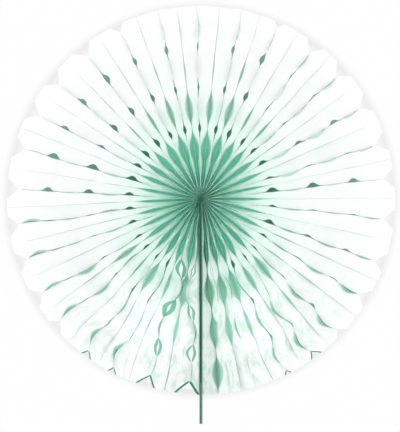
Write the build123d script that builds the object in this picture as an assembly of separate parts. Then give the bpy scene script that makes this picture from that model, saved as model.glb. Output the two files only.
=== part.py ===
from build123d import *
import os
from math import asin, cos, degrees, exp, hypot, pi, sin, sqrt

# A paper fan rosette: one strip of tissue, folded into narrow pleats and opened all the way round
# until the card at each of its ends meets the other. It stands upright in the XZ plane and faces
# -Y, and the joint between the cards runs straight down. The origin is the middle of the tab that
# the two cards make below the rim, where the rosette is held.

# Driving dimensions. Lengths are in millimetres.
rim_radius = 200.0
pleat_width = 30.0
tissue_thickness = 0.25
card_thickness = 1.4
card_inner_radius = 2.5
tab_length = 30.0
tab_corner_radius = 4.0
tape_thickness = 0.2
tape_width = 12.0
tape_margin = 12.0
thread_diameter = 0.8
thread_clearance = 0.3
thread_inset = 3.0

# The pleats. Fullness is the width of the tissue over the length of rim that it covers, and
# packing is the room that each layer has at the inner ends over its own thickness. The pleats
# crowd together beside the cards: by a share of their width there, over a reach in pleats.
fullness = 1.5
packing = 1.5
right_crowding = 0.45
right_crowding_reach = 3.0
left_crowding = 0.2
left_crowding_reach = 8.0

# The diamonds that are cut through each front fold, and the half diamond at the rim.
hole_rings = 4
first_hole_radius = 32.0
hole_half_length = 12.0
hole_half_width = 8.0
rim_corner_cut = 3.0

# Sizes that follow from those above.
pleat_count = round((2 * pi * rim_radius * fullness / pleat_width - 1) / 2)
gap_count = 2 * pleat_count + 1
panel_count = gap_count + 2
card_face = tape_thickness / 2 + card_thickness
seam_width = 2 * (card_face + tissue_thickness)
hub_radius = (panel_count * tissue_thickness * packing + seam_width) / (2 * pi)
hole_pitch = (rim_radius - first_hole_radius) / hole_rings
hole_radii = [first_hole_radius + ring * hole_pitch for ring in range(hole_rings)]
thread_ring_radius = hub_radius + thread_inset
pinhole_half = (thread_diameter / 2 + thread_clearance) * sqrt(2)
card_bottom = rim_radius + tab_length
centre_height = rim_radius + tab_length / 2

# The loop bends as it passes the cards, so their hole takes the bend as well as the thread.
thread_bend = thread_ring_radius - sqrt(thread_ring_radius ** 2 - card_face ** 2)
card_hole_height = thread_ring_radius - thread_bend / 2
card_hole_radius = thread_diameter / 2 + thread_bend / 2 + thread_clearance

# The fold lines are numbered anticlockwise, as seen from the front, from the back edge of the
# tissue on the right card to its front edge on the left card. Odd lines are front folds.
RIGHT_EDGE = 0
RIGHT_FOLD = 1
LEFT_FOLD = gap_count + 1
LEFT_EDGE = gap_count + 2


def is_front(line):
    return line % 2 == 1


def on_card(line):
    return line in (RIGHT_EDGE, RIGHT_FOLD, LEFT_FOLD, LEFT_EDGE)


def rim_angles():
    """Angle of each fold line at the rim, from the seam, with the pleats crowded beside it."""
    shares = []
    for gap in range(gap_count):
        right = right_crowding * exp(-gap / 2 / right_crowding_reach)
        left = left_crowding * exp(-(gap_count - gap) / 2 / left_crowding_reach)
        shares.append(1 - right - left)
    angles = {RIGHT_FOLD: 0.0}
    for gap, share in enumerate(shares):
        angles[RIGHT_FOLD + gap + 1] = angles[RIGHT_FOLD + gap] + 2 * pi * share / sum(shares)
    return angles


def hub_angles():
    """Angle of each fold line at its inner end, evenly spaced from card to card."""
    start = asin((card_face + tissue_thickness) / hub_radius)
    step = (2 * pi - 2 * start) / gap_count
    return {RIGHT_FOLD + gap: start + gap * step for gap in range(gap_count + 1)}


rim_angle = rim_angles()
hub_angle = hub_angles()


def in_plane(line, radius):
    """Place of a fold line at a radius, in X and Z from the rosette's centre."""
    if on_card(line):
        side = 1 if line in (RIGHT_EDGE, RIGHT_FOLD) else -1
        return side * (card_face + tissue_thickness / 2), -radius
    share = (radius - hub_radius) / (rim_radius - hub_radius)
    hub = hub_radius * sin(hub_angle[line]), -hub_radius * cos(hub_angle[line])
    rim = rim_radius * sin(rim_angle[line]), -rim_radius * cos(rim_angle[line])
    return hub[0] + (rim[0] - hub[0]) * share, hub[1] + (rim[1] - hub[1]) * share


def half_pitch(line, radius):
    """Mean distance in the plane from a fold line to the lines on each side of it."""
    place = in_plane(line, radius)
    beside = [n for n in (line - 1, line + 1) if RIGHT_FOLD <= n <= LEFT_FOLD]
    places = [in_plane(n, radius) for n in beside]
    return sum(hypot(place[0] - x, place[1] - z) for x, z in places) / len(places)


def depth(line, radius):
    """Depth of the pleats from front to back at a fold line, as the paper keeps its width."""
    if on_card(line):
        return pleat_width
    return sqrt(pleat_width ** 2 - half_pitch(line, radius) ** 2)


def fold_points(line, radius):
    """Points of the tissue's front skin and back skin on a fold line at a radius."""
    x, z = in_plane(line, radius)
    half = depth(line, radius) / 2
    skin_gap = 0.0
    if line not in (RIGHT_EDGE, LEFT_EDGE):
        skin_gap = tissue_thickness * pleat_width / (half_pitch(line, radius) + tissue_thickness)
    front_y, back_y = half - skin_gap, half
    if is_front(line):
        front_y, back_y = -half, -half + skin_gap
    shift = tissue_thickness / 2 if on_card(line) else 0.0
    return (x - shift, front_y, z), (x + shift, back_y, z)


def skin_point(panel, radius, across, skin):
    """Point of one skin of a panel. Across is the distance over the paper from the front fold."""
    front_line, back_line = (panel, panel + 1) if is_front(panel) else (panel + 1, panel)
    front = fold_points(front_line, radius)[skin]
    back = fold_points(back_line, radius)[skin]
    if across == 0:
        return front
    if across == pleat_width:
        return back
    start = -depth(front_line, radius) / 2
    end = depth(back_line, radius) / 2
    y = start + (end - start) * across / pleat_width
    share = (y - front[1]) / (back[1] - front[1])
    return tuple(a + (b - a) * share for a, b in zip(front, back))


def panel_outline():
    """Outline of one flat panel, as radius and distance across, with its cuts and its pinhole."""
    points = [(hub_radius, 0.0)]
    for radius in hole_radii:
        points.append((radius - hole_half_length, 0.0))
        points.append((radius, hole_half_width))
        points.append((radius + hole_half_length, 0.0))
    notch_end = hole_half_width * (1 - rim_corner_cut / hole_half_length)
    points.append((rim_radius - hole_half_length, 0.0))
    points.append((rim_radius - rim_corner_cut, notch_end))
    points.append((rim_radius, notch_end + rim_corner_cut))
    points.append((rim_radius, pleat_width))
    points += [(radius, pleat_width) for radius in reversed(hole_radii)]
    points.append((hub_radius, pleat_width))
    middle = pleat_width / 2
    inner = (hub_radius, middle)
    near = (thread_ring_radius - pinhole_half, middle)
    pinhole = [
        near,
        (thread_ring_radius, middle + pinhole_half),
        (thread_ring_radius + pinhole_half, middle),
        (thread_ring_radius, middle - pinhole_half),
        near,
    ]
    return points + [inner] + pinhole + [inner]


def turn(a, b, c):
    return (b[0] - a[0]) * (c[1] - a[1]) - (b[1] - a[1]) * (c[0] - a[0])


def is_ear(points, left, place):
    """Whether the corner at a place in the remaining outline can be cut off as a triangle."""
    a, b, c = (points[left[(place + n) % len(left)]] for n in (-1, 0, 1))
    if turn(a, b, c) <= 0:
        return False
    others = [points[n] for n in left if points[n] not in (a, b, c)]
    return not any(turn(a, b, p) >= 0 and turn(b, c, p) >= 0 and turn(c, a, p) >= 0 for p in others)


def roundness(points, left, place):
    """Area of the triangle at a place over the square of its longest side."""
    a, b, c = (points[left[(place + n) % len(left)]] for n in (-1, 0, 1))
    longest = max(hypot(p[0] - q[0], p[1] - q[1]) for p, q in ((a, b), (b, c), (c, a)))
    return turn(a, b, c) / longest ** 2


def triangulate(points):
    """Triangles that fill an outline, the roundest corner cut off first."""
    left = list(range(len(points)))
    triangles = []
    while len(left) > 3:
        ears = [place for place in range(len(left)) if is_ear(points, left, place)]
        best = max(ears, key=lambda place: roundness(points, left, place))
        triangles.append((left[best - 1], left[best], left[(best + 1) % len(left)]))
        left.pop(best)
    return triangles + [tuple(left)]


def open_edges(points):
    """Edges of the outline that are cut edges: neither a fold nor the way in to the pinhole."""
    pairs = list(zip(points, points[1:] + points[:1]))
    folds = [(0.0, 0.0), (pleat_width, pleat_width)]
    return [(p, q) for p, q in pairs if (q, p) not in pairs and (p[1], q[1]) not in folds]


def end_edges(points, across):
    """Edges of the outline along its front side or its back side."""
    pairs = zip(points, points[1:] + points[:1])
    return [(p, q) for p, q in pairs if p[1] == across and q[1] == across]


def triangle(corners):
    return Face(Wire.make_polygon([Vector(*corner) for corner in corners], close=True))


def make_pleated_tissue():
    """The whole sheet as one solid: two skins of flat triangles, joined along every cut edge."""
    outline = panel_outline()
    triangles = triangulate(outline)
    faces = []
    for panel in range(panel_count):
        edges = open_edges(outline)
        if panel == RIGHT_EDGE:
            edges += end_edges(outline, pleat_width)
        if panel + 1 == LEFT_EDGE:
            edges += end_edges(outline, 0.0)
        skins = []
        for skin in (0, 1):
            skins.append({point: skin_point(panel, *point, skin) for point in outline})
            faces += [triangle([skins[skin][outline[n]] for n in corners]) for corners in triangles]
        front, back = skins
        for p, q in edges:
            faces.append(triangle([front[p], front[q], back[q]]))
            faces.append(triangle([front[p], back[q], back[p]]))
    return Solid(Shell(faces))


def make_end_card(side):
    """Strip of board behind the tissue's end panel, from the centre to the end of the tab."""
    length = card_bottom - card_inner_radius
    middle = side * (tape_thickness + card_thickness) / 2
    card = Pos(middle, 0, -card_inner_radius - length / 2) * Box(card_thickness, pleat_width, length)
    card = fillet(card.edges().filter_by(Axis.X).group_by(Axis.Z)[0], tab_corner_radius)
    hole = Rot(0, 90, 0) * Cylinder(card_hole_radius, card_thickness)
    return card - Pos(middle, 0, -card_hole_height) * hole


def make_joining_tape():
    """Double sided tape between the two cards."""
    length = rim_radius - thread_ring_radius - 2 * tape_margin
    tape = Box(tape_thickness, tape_width, length)
    return Pos(0, 0, -thread_ring_radius - tape_margin - length / 2) * tape


def make_centre_thread():
    """Closed loop of thread through the pinhole in every panel and in both cards."""
    return Rot(90, 0, 0) * Torus(thread_ring_radius, thread_diameter / 2)


nodes = {
    "pleated_tissue": make_pleated_tissue(),
    "end_card_left": make_end_card(-1),
    "end_card_right": make_end_card(1),
    "joining_tape": make_joining_tape(),
    "centre_thread": make_centre_thread(),
}

os.makedirs("parts", exist_ok=True)
for name, shape in nodes.items():
    placed = shape.moved(Location((0, 0, centre_height)))
    placed.label = name
    export_step(placed, f"parts/{name}.step")

widest = max(rim_angle[line + 2] - rim_angle[line] for line in range(RIGHT_FOLD, LEFT_FOLD - 1))
print(f"{pleat_count} front folds, {panel_count} panels, widest pleat {degrees(widest):.1f} degrees")
print(f"inner ends at radius {hub_radius:.2f}, rings of holes at {hole_radii}")
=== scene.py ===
# %% [markdown]
# # A paper fan rosette, dressed
#
# The real thing is one long strip of mint tissue paper. It is folded into narrow pleats like an
# accordion, a row of diamonds is cut through the front folds, and the stack is opened all the way
# round until the cards at its two ends meet. The measured solids give the frame. This file gives
# the sheet the bends that thin paper takes, and gives every piece its finish.

# %% Load the frame
from math import asin, cos, pi, radians, sin

import bmesh
import bpy
import numpy as np
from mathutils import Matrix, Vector


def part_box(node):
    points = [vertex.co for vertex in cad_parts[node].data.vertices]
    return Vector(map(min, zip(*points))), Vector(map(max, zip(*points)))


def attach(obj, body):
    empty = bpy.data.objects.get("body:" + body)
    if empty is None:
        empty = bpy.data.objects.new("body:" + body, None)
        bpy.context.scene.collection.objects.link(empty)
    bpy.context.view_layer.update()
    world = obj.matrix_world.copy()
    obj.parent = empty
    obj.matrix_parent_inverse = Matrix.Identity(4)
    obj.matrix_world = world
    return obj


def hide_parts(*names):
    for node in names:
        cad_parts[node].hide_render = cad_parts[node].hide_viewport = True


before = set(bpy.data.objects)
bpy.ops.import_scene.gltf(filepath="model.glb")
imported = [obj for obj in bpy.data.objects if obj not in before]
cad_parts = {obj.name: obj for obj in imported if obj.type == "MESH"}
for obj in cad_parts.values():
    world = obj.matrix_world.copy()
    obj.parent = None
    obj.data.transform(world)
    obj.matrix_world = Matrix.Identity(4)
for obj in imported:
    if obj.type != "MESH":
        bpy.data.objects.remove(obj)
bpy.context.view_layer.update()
print("solids:", ", ".join(sorted(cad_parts)))

# %% [markdown]
# ## Sizes
#
# Nothing here is measured a second time: the disc, the pleats and the cards take their sizes from
# the solids, so the dressed sheet lies where they do. Two things are left. One is the ring at the
# centre, which thin tissue draws tighter than the thicker solid can. The other is what the knife
# did, which is the same on every fold: four diamonds, and half a diamond at the rim. All lengths
# are in metres.

# %% Sizes taken from the solids, and the cuts
mm = 0.001
tissue_low, tissue_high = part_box("pleated_tissue")
thread_low, thread_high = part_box("centre_thread")
card_low, card_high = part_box("end_card_right")
centre_z = (thread_low[2] + thread_high[2]) / 2
rim_radius = (tissue_high[2] - tissue_low[2]) / 2
pleat_width = card_high[1] - card_low[1]
card_side = card_high[0]
hub_radius = 2.6 * mm

diamond_radii = [32 * mm, 74 * mm, 116 * mm, 158 * mm]
diamond_half_length = 12 * mm
diamond_half_width = 8 * mm
notch_depth = 15 * mm
notch_half_mouth = 14 * mm
print(f"disc {2 * rim_radius:.3f} m across, pleats {pleat_width:.3f} m wide, centre at {centre_z:.3f} m")

# %% [markdown]
# ## The folds
#
# The strip has a fold every pleat width, first to the front, then to the back. They are counted
# anticlockwise from the right card: line 0 is the sheet's edge on that card, odd lines fold to the
# front, and line 65 is the edge on the left card.
#
# Paper fans never open evenly, and no formula gives the way one of them hangs. So each front fold
# has a row of values read off the real one: its angle from straight down, how wide its second,
# third and fourth diamond stand open, and how far the paper beside the fold lies over in the four
# stretches between the diamonds and the rim, in millimetres. Plus is anticlockwise. Beside the
# cards a frame of painted shade, for the curled cut edge, shows round some open diamonds, and
# painted shade shows as a dark edge along some notches of the rim. Their widths are listed by the
# angle of their fold.

# %% Front folds
front_folds = [
    (8.4, (1.0, 0.0, 0.0), (-1.5, 1.5, -1.0, 1.0)),
    (16.2, (0.5, 0.5, 0.5), (2.5, 2.5, -2.0, -1.0)),
    (26.5, (3.0, 1.5, 1.5), (2.5, -2.5, -2.5, -4.0)),
    (36.4, (1.5, 0.0, 1.0), (1.0, 1.0, -4.5, -6.5)),
    (46.7, (1.0, 0.5, 2.0), (-1.0, -1.5, -4.5, -6.5)),
    (59.4, (2.0, 0.0, 0.0), (-1.0, -1.8, -3.5, -6.0)),
    (71.0, (4.2, 1.6, 1.6), (-1.0, -2.0, -2.5, -2.6)),
    (84.3, (1.8, 0.6, 0.6), (-1.0, -1.8, -1.3, -2.2)),
    (96.6, (4.6, 4.4, 4.0), (-1.0, -1.5, -1.0, -1.0)),
    (107.6, (1.5, 0.3, 0.3), (-1.0, -3.6, -2.6, -3.0)),
    (120.3, (3.6, 2.2, 3.0), (-1.0, -3.4, -4.0, -3.6)),
    (132.6, (2.6, 0.8, 0.8), (-1.0, -2.2, -3.0, -4.6)),
    (143.9, (2.6, 0.6, 0.6), (-0.5, -1.2, -3.0, -4.6)),
    (156.3, (3.6, 3.8, 4.6), (0.5, 0.8, 0.8, -2.0)),
    (167.9, (3.0, 2.4, 2.6), (0.5, -1.6, -1.6, -3.6)),
    (181.2, (2.4, 1.2, 1.2), (0.5, 1.4, 1.4, -4.0)),
    (193.2, (2.8, 2.0, 3.2), (0.5, -1.0, -1.0, -3.4)),
    (205.7, (3.0, 3.0, 3.2), (0.5, 2.0, 1.0, -1.0)),
    (218.2, (3.8, 3.6, 4.6), (0.5, 1.0, 1.0, 1.0)),
    (230.7, (3.8, 3.9, 3.9), (0.5, 1.2, 1.0, 1.0)),
    (242.2, (3.2, 1.8, 2.8), (0.5, 1.4, 1.0, 1.0)),
    (254.0, (4.2, 4.8, 5.2), (1.0, 2.0, 1.0, -1.2)),
    (266.5, (2.8, 3.6, 3.8), (1.0, 1.8, 1.0, 0.8)),
    (277.8, (2.6, 0.3, 0.3), (1.0, -2.2, 1.6, -4.4)),
    (288.8, (2.6, 0.3, 0.0), (1.5, 1.6, 1.4, -4.8)),
    (300.6, (1.6, 0.6, 0.0), (1.5, 1.2, 5.0, -4.2)),
    (311.3, (2.0, 0.8, 0.0), (1.5, -2.0, 4.0, -4.8)),
    (323.1, (1.8, 1.0, 0.0), (1.5, 1.0, 2.4, -5.6)),
    (332.6, (2.0, 0.5, 0.0), (1.5, 1.6, 1.2, -6.0)),
    (343.6, (4.6, 2.4, 2.0), (-3.5, 4.0, -2.5, 1.5)),
    (355.4, (1.6, 2.0, 4.5), (3.0, -4.5, 3.0, 1.5)),
]
# Widths in millimetres of the painted shade round open diamonds, for the curled cut edge.
shade_frames = {343.6: (5.0, 6.5, 4.0), 355.4: (1.8, 3.2, 3.2), 8.4: (0.8, 0.0, 0.0)}
# Widths in millimetres of the painted shade that shows as a dark edge along notches.
notch_shades = {343.6: 2.4, 355.4: 3.2, 332.6: 1.8, 323.1: 1.8, 26.5: 1.8, 36.4: 1.8}
RIGHT_EDGE, RIGHT_FOLD, FIRST_CUT_FOLD = 0, 1, 3
LEFT_FOLD = 2 * len(front_folds) + 2
LEFT_EDGE = LEFT_FOLD + 1
seam_back_fold_degrees = 5.0
no_widths, no_lean = (0.0, 0.0, 0.0), (0.0, 0.0, 0.0, 0.0)

line_degrees = {RIGHT_FOLD: 0.0, LEFT_FOLD: 360.0}
holes_of, leans_of = {RIGHT_FOLD: no_widths}, {RIGHT_FOLD: no_lean}
shade_frames_of, notch_shades_of = {}, {}
for number, (degrees, holes, leans) in enumerate(front_folds):
    line = FIRST_CUT_FOLD + 2 * number
    line_degrees[line] = degrees
    holes_of[line] = holes
    leans_of[line] = leans
    shade_frames_of[line] = shade_frames.get(degrees, no_widths)
    notch_shades_of[line] = notch_shades.get(degrees, 0.0)
for line in range(RIGHT_FOLD + 1, LEFT_FOLD, 2):
    line_degrees[line] = (line_degrees[line - 1] + line_degrees[line + 1]) / 2
line_degrees[RIGHT_FOLD + 1] = seam_back_fold_degrees

hub_start = asin(card_side / hub_radius)
hub_step = (2 * pi - 2 * hub_start) / (LEFT_FOLD - RIGHT_FOLD)
print(f"{len(front_folds)} front folds with diamonds, {LEFT_EDGE} panels")

# %% [markdown]
# The back folds lie at the bottom of the valleys. Where the two pleats beside a valley stand apart
# one looks down into it, so each back fold has half the width of its open valley, again in the four
# stretches and in millimetres. Nearly all valleys are shut towards the rim. The open ones stand at
# the top, where the pleats hang free, and at the bottom, where they bunch up beside the cards.

# %% Open valleys
valley_gaps = [
    (3.2, 5.4, 5.3, 6.0), (3.4, 5.4, 3.8, 0.5), (4.2, 6.6, 2.6, 0.5), (3.2, 3.2, 1.0, 0.3),
    (2.5, 4.2, 1.2, 0.3), (1.2, 0.8, 0.6, 0.2), (1.5, 0.7, 0.4, 0.1), (1.0, 0.1, 0.1, 0.1),
    (1.0, 0.1, 0.1, 0.1), (1.2, 0.1, 0.1, 0.1), (1.8, 0.2, 0.1, 0.1), (2.5, 0.5, 0.2, 0.1),
    (3.2, 1.5, 0.3, 0.1), (3.8, 1.6, 0.4, 0.1), (4.4, 4.3, 1.5, 0.1), (4.8, 3.8, 0.7, 0.2),
    (4.8, 4.4, 0.8, 0.2), (4.6, 3.4, 0.7, 0.2), (4.0, 1.8, 0.4, 0.1), (3.4, 0.9, 0.4, 0.1),
    (2.5, 0.4, 0.2, 0.1), (2.2, 0.3, 0.1, 0.1), (1.5, 0.2, 0.1, 0.1), (1.0, 0.2, 0.1, 0.1),
    (1.5, 0.3, 0.1, 0.1), (1.5, 0.4, 0.2, 0.1), (2.5, 3.0, 0.4, 0.1), (2.5, 1.2, 0.4, 0.1),
    (3.0, 4.6, 0.8, 0.2), (3.0, 2.0, 0.8, 0.2), (3.2, 6.8, 2.4, 0.5), (0.6, 0.4, 0.3, 0.3),
]
gaps_of = {2 + 2 * number: gaps for number, gaps in enumerate(valley_gaps)}
widest = max(gaps_of, key=lambda line: max(gaps_of[line]))
print(f"widest valley: line {widest} at {line_degrees[widest]:.0f} degrees")

# %% [markdown]
# ## How loose the paper is
#
# The sheet hangs from its own weight, tight and upright at the top, slack at the bottom. A few
# values, with straight lines between them, say that more clearly than a formula would: how much
# painted shade the fins that lie over take, how far the folds wander, how much of the room near the
# centre is open valley, how wide the notches at the rim stand open, and how much painted shade is
# kept off the ridges between the petals of the middle, so that they stay pale. The last three are
# in millimetres from the centre: where the painted shade of the petals ends, and where the painted
# green shade starts to fade and has gone.

# %% Values that change round the disc
def by_angle(*pairs):
    """Function of the angle from straight down, in degrees, from pairs of angle and value."""
    angles, values = zip(*pairs)
    return lambda degrees: float(np.interp(degrees, angles, values, period=360))


# How much painted shade the fins that lie over take, by angle round the disc.
fin_shade_by_angle = by_angle((0, 0.9), (60, 1), (80, 0.8), (97, 0.5), (112, 0.6), (135, 0.4), (155, 0.25),
                        (205, 0.25), (240, 0.5), (265, 0.8), (300, 1), (330, 1))
slack = by_angle((0, 1), (30, 0.8), (60, 0.35), (90, 0.2), (180, 0.12), (270, 0.2), (300, 0.35),
                 (330, 0.8))
open_at_hub = by_angle((0, 0.6), (60, 0.45), (110, 0.45), (150, 0.68), (205, 0.7), (235, 0.5),
                       (270, 0.42))
notch_open = by_angle((8, 0.25), (26, 0.35), (36, 0.6), (47, 0.7), (60, 0.95), (144, 0.95), (156, 0.6),
                      (165, 0.1), (195, 0.1), (206, 0.75), (217, 1), (300, 1), (311, 0.85), (323, 0.55),
                      (333, 0.45), (343, 0.9), (356, 1))
# How much of the painted shade is kept off the ridges near the centre, so they stay pale.
unshaded_ridge = by_angle((0, 0.25), (60, 0.15), (110, 0.25), (140, 0.7), (180, 1), (220, 0.7), (250, 0.25),
                      (300, 0.15))
# Where the painted shade on the petals round the centre ends, in millimetres, by angle.
petal_end = by_angle((0, 68), (60, 60), (100, 52), (140, 64), (180, 73), (220, 64), (260, 52), (300, 60))
# Where the painted green shade starts to fade and where it has gone, in millimetres, by angle.
shade_start = by_angle((0, 48), (60, 34), (100, 28), (140, 42), (180, 46), (220, 42), (260, 28),
                       (300, 34))
shade_end = by_angle((0, 150), (40, 130), (65, 105), (110, 98), (140, 112), (180, 120), (220, 112),
                     (250, 98), (290, 100), (320, 130))
print(f"slack at the bottom {slack(0):.1f}, at the side {slack(90):.1f}, at the top {slack(180):.1f}")

# %% [markdown]
# Between two diamonds the fold is whole and pulls its pleat shut, so the valley beside it gapes.
# At a diamond nothing holds the pleat shut, and its two sides lean out until they meet the next
# ones. That is why the valleys look like strings of lenses.

# %% Values that change from the centre to the rim
row_step = 2.3 * mm
cut_bulge = 1.25
rng = np.random.default_rng(7)


def make_rows():
    """Distances from the centre of the rows of points, with one row on every corner of a cut."""
    keys = [hub_radius]
    for radius in diamond_radii:
        keys += [radius - diamond_half_length, radius, radius + diamond_half_length]
    keys += [rim_radius - notch_depth, rim_radius]
    rows = [keys[0]]
    for start, end in zip(keys, keys[1:]):
        count = max(1, round((end - start) / row_step))
        rows += list(np.linspace(start, end, count + 1)[1:])
    return np.array(rows)


rows = make_rows()
ring_pitch = diamond_radii[1] - diamond_radii[0]
between = np.sin(pi * (rows - diamond_radii[0]) / ring_pitch) ** 2
section_number = np.clip(((rows - diamond_radii[0]) / ring_pitch + 1).astype(int), 0, 4)


def knife_cut():
    """How far the knife cut back from a front fold, at each row: the diamonds, and the rim's half one."""
    width = np.zeros(len(rows))
    for radius in diamond_radii:
        away = np.abs(rows - radius) / diamond_half_length
        width = np.maximum(width, diamond_half_width * (1 - away ** cut_bulge))
    into_notch = np.clip((rows - rim_radius + notch_depth) / notch_depth, 0, 1)
    return width, notch_half_mouth * into_notch


diamonds, notch = knife_cut()


def cut_at(line):
    """The cut at one front fold. Where the rim is drawn together its notch shuts, from the inside out."""
    if line not in shade_frames_of:
        return np.zeros(len(rows))
    shut = notch_half_mouth * (1 - notch_open(line_degrees[line]))
    return np.maximum(diamonds, np.clip(notch - shut, 0, None))


print(f"{len(rows)} rows, cut up to {diamonds.max() / mm:.0f} mm back from the fold")

# %% [markdown]
# ## Where the folds run
#
# Each fold is a straight line from its place in the tight ring at the centre to its place on the
# rim, plus a slow wander, which is a sum of three waves with random phases. A front fold also
# swings over with the paper beside it, most of all where the sheet is loose.

# %% Fold lines
wander_height, wander_turns = 1.6 * mm, 1.7
slack_begins = 0.35
loose_from, loose_fully = 50 * mm, 90 * mm
swing_when_tight, swing_when_loose = 0.35, 1.45


def wander(amount, waves=3):
    """A slow random wave along the rows, zero at the centre."""
    total = np.zeros(len(rows))
    for wave in range(1, waves + 1):
        total += np.sin(rows / rim_radius * pi * wave * wander_turns + rng.uniform(0, 2 * pi)) / wave
    return amount * total * np.clip(rows / rim_radius * 2, 0, 1)


def stretch_values(values):
    """One value a row, in metres, from values in millimetres for the four stretches."""
    return np.array([0.0, *values])[section_number] * mm


def loose_rows(degrees):
    """How loose the paper is at an angle, from 0 to 1, for each row."""
    round_disc = np.clip((slack(degrees) - slack_begins) / (1 - slack_begins), 0, 1)
    return round_disc * np.clip((rows - loose_from) / (loose_fully - loose_from), 0, 1)


def fold_line(line):
    """Places of a fold line in X and Z from the centre, one for each row."""
    if line in (RIGHT_EDGE, RIGHT_FOLD, LEFT_FOLD, LEFT_EDGE):
        side = 1 if line < LEFT_FOLD else -1
        return np.stack([np.full(len(rows), side * card_side), -rows], axis=1)
    hub = hub_start + (line - RIGHT_FOLD) * hub_step
    rim = radians(line_degrees[line])
    share = ((rows - hub_radius) / (rim_radius - hub_radius))[:, None]
    straight = (1 - share) * hub_radius * np.array([sin(hub), -cos(hub)])
    straight = straight + share * rim_radius * np.array([sin(rim), -cos(rim)])
    sideways = np.array([cos(rim), sin(rim)])
    swing = wander(wander_height * slack(line_degrees[line]))
    if line % 2:
        loose = loose_rows(line_degrees[line])
        share = swing_when_tight + (swing_when_loose - swing_when_tight) * loose
        swing = swing + share * stretch_values(leans_of[line]) * between
    return straight + swing[:, None] * sideways


places = {line: fold_line(line) for line in range(LEFT_EDGE + 1)}
print(f"{len(places)} fold lines and edges")

# %% [markdown]
# ## Valleys
#
# A panel runs from a front fold to a back fold, and its section is three stretches of paper: the
# fin beside the front fold, the shoulder that lies nearly flat, and the wall that drops to the
# back fold. The first thing that sets them, at each row of points, is how wide the valley at the
# back fold gapes. Near the centre all valleys are open, because there is no room to lie flat.

# %% Valleys
gap_at_diamond, widest_gap, hub_valleys_close = 0.1 * mm, 0.8, (20 * mm, 65 * mm)


def soft_step(t):
    """0 below 0 and 1 above 1, with a soft rise between them."""
    t = np.clip(t, 0, 1)
    return t * t * (3 - 2 * t)


def fade_in(start, end):
    """0 nearer the centre than the start and 1 beyond the end, for each row."""
    return soft_step((rows - start) / (end - start))


def valley_gap(line, half_pitch):
    """Half the width of the open valley at a back fold."""
    gap = gap_at_diamond + (stretch_values(gaps_of[line]) - gap_at_diamond) * between
    open_share = open_at_hub(line_degrees[line]) * (1 - fade_in(*hub_valleys_close))
    gap = np.maximum(gap, open_share * half_pitch)
    return np.minimum(gap, widest_gap * half_pitch)


room_there = np.linalg.norm(places[widest] - places[widest + 1], axis=1)
print(f"widest valley opens {2 * valley_gap(widest, room_there).max() / mm:.0f} mm")

# %% [markdown]
# ## Fins
#
# The second thing is how tall the fin is and how far it lies over. At an open diamond the fin is
# lower than the cut is deep, so that the hole shows from the front.

# %% Fins
low_fin, fin_at_hub, fin_at_rim, fin_at_card = 4.5 * mm, 9 * mm, 2.5 * mm, 1 * mm
fin_for_lean, past_the_cut = 1.3, 0.4 * mm
upright_reach, upright_at_hub, flattest_fin = 0.05, 0.01, 0.95
other_side, other_side_most = 0.8 * mm, 0.3 * mm
hole_length, hole_length_for_width = 2.2 * mm, 0.8
hole_end, lowest_fin, slant_of_hole = 3 * mm, 1 * mm, 0.93
share_to_light = 0.4
fins_vary = {line: rng.uniform(0.95, 1.05) for line in range(RIGHT_FOLD, LEFT_EDGE, 2)}
near_hub = 1 - fade_in(46 * mm, 66 * mm)
at_rim = fade_in(rim_radius - 30 * mm, rim_radius - 6 * mm)


def open_the_diamonds(line, share, shut_height):
    """Height of one side of a fin, lowered at each diamond until its share of the hole shows."""
    height = shut_height
    for radius, hole in zip(diamond_radii, (0.0, *holes_of[line])):
        hole = hole * mm
        away = np.abs(rows - radius)
        length = min(hole_length + hole_length_for_width * hole, diamond_half_length - 1 * mm)
        seen = share * hole * np.clip(1 - (away / length) ** 2, 0, None)
        open_height = np.maximum(diamonds - seen / slant_of_hole, lowest_fin)
        opened = open_height + (shut_height - open_height) * soft_step((away - length) / hole_end)
        height = np.where(away < diamond_half_length + hole_end, opened, height)
    return height


def fin_of(line, anticlockwise):
    """Height of one side of the fin at a front fold and how far it reaches sideways, for each row."""
    side = 1 if anticlockwise else -1
    share = 0.5 + share_to_light * sin(radians(line_degrees[line])) * side
    lean = stretch_values(leans_of[line])
    height = np.maximum(fin_for_lean * np.abs(lean), low_fin) * fins_vary[line]
    height = open_the_diamonds(line, share, np.maximum(height, diamonds + past_the_cut))
    height = height + (fin_at_hub - height) * near_hub
    height = height * (1 - at_rim) + fin_at_rim * at_rim
    if line == RIGHT_FOLD:
        height = np.full(len(rows), fin_at_card)
    over = side * lean
    reach = np.where(over > 0, over, np.minimum(over + other_side, other_side_most))
    upright = (upright_reach + (upright_at_hub - upright_reach) * near_hub) * height
    reach = upright + (reach - upright) * between * (1 - near_hub) * (1 - at_rim)
    return height, np.clip(reach, -flattest_fin * height, flattest_fin * height)


fin_heights = [fin_of(line, True)[0].max() for line in leans_of]
print(f"fins up to {max(fin_heights) / mm:.0f} mm tall")

# %% [markdown]
# ## One panel's bend
#
# The slope of the paper is written as a function of the distance across it, with a soft bend
# between one stretch and the next, and adding up its cosine and sine gives the section. The length
# of paper then comes out right by itself, as it would not if the points were placed by eye. Near
# the centre a narrow lip beside the front fold lies flatter than the fin and catches the light.

# %% Section of a panel
fine = np.linspace(0, pleat_width, 241)
fine_step = fine[1] - fine[0]
fin_bend, wall_bend = 0.9 * mm, 0.9 * mm
lip_width, lip_slope = 0.5 * mm, radians(12)
lip_rows, lip_shares = (3 * mm, 14 * mm), (0.6, 0.28)
widest_reach, shortest_wall = 0.6, 0.5 * mm
shoulder_at_hub, shoulder_at_rim, shoulder_flattens = 46, 19, (20 * mm, 100 * mm)
fall_when_slack, fall_at_left_card = 14, -16
shoulders_vary = {panel: rng.uniform(-3, 3) for panel in range(LEFT_EDGE)}


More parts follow.
